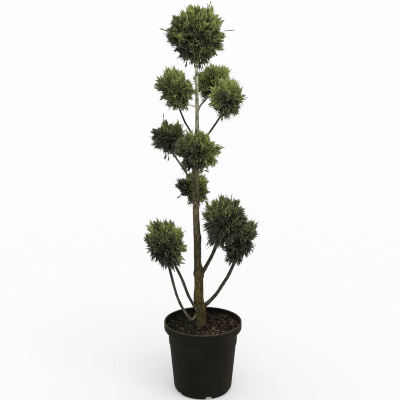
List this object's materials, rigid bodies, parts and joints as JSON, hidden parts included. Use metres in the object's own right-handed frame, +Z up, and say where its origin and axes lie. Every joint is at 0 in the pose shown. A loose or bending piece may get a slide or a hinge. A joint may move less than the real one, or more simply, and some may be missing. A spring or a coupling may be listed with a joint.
{
  "type": "potted leyland cypress pompon topiary",
  "caption": "Evergreen conifer clipped into balls on bare boughs round a bare trunk, in a round black nursery pot filled with potting mix.",
  "frame": {"origin": "centre of the pot's flat underside", "axes": "+Z up the trunk, -Y towards the viewer of the picture, +X to the right"},
  "size_m": [0.4399, 0.3221, 1.5014],
  "materials": {
    "pot_plastic": "black moulded plastic, satin, dusty",
    "potting_mix": "dark moist mix with bark chips",
    "bark": "fissured olive-brown bark, paler and smoother towards the top",
    "foliage": "sprays of green scale leaves, lighter at the clipped tips"
  },
  "bodies": {
    "root": {"pot": "pot_plastic", "soil": "potting_mix", "trunk": "bark", "bough_lower_left_outer": "bark", "bough_lower_left_inner": "bark", "bough_lower_right_back": "bark", "bough_lower_right_front": "bark", "bough_middle_back": "bark", "bough_middle_front": "bark", "bough_middle_left": "bark", "bough_upper_left": "bark", "bough_upper_right_front": "bark", "bough_upper_right_back": "bark", "twig_upper_left": "bark", "pompon_top": "foliage", "pompon_upper_left": "foliage", "pompon_upper_right_back": "foliage", "pompon_upper_right_front": "foliage", "pompon_middle_left": "foliage", "pompon_middle_front": "foliage", "pompon_middle_back": "foliage", "pompon_lower_right_front": "foliage", "pompon_lower_right_back": "foliage", "pompon_lower_left": "foliage"}
  },
  "joints": []
}
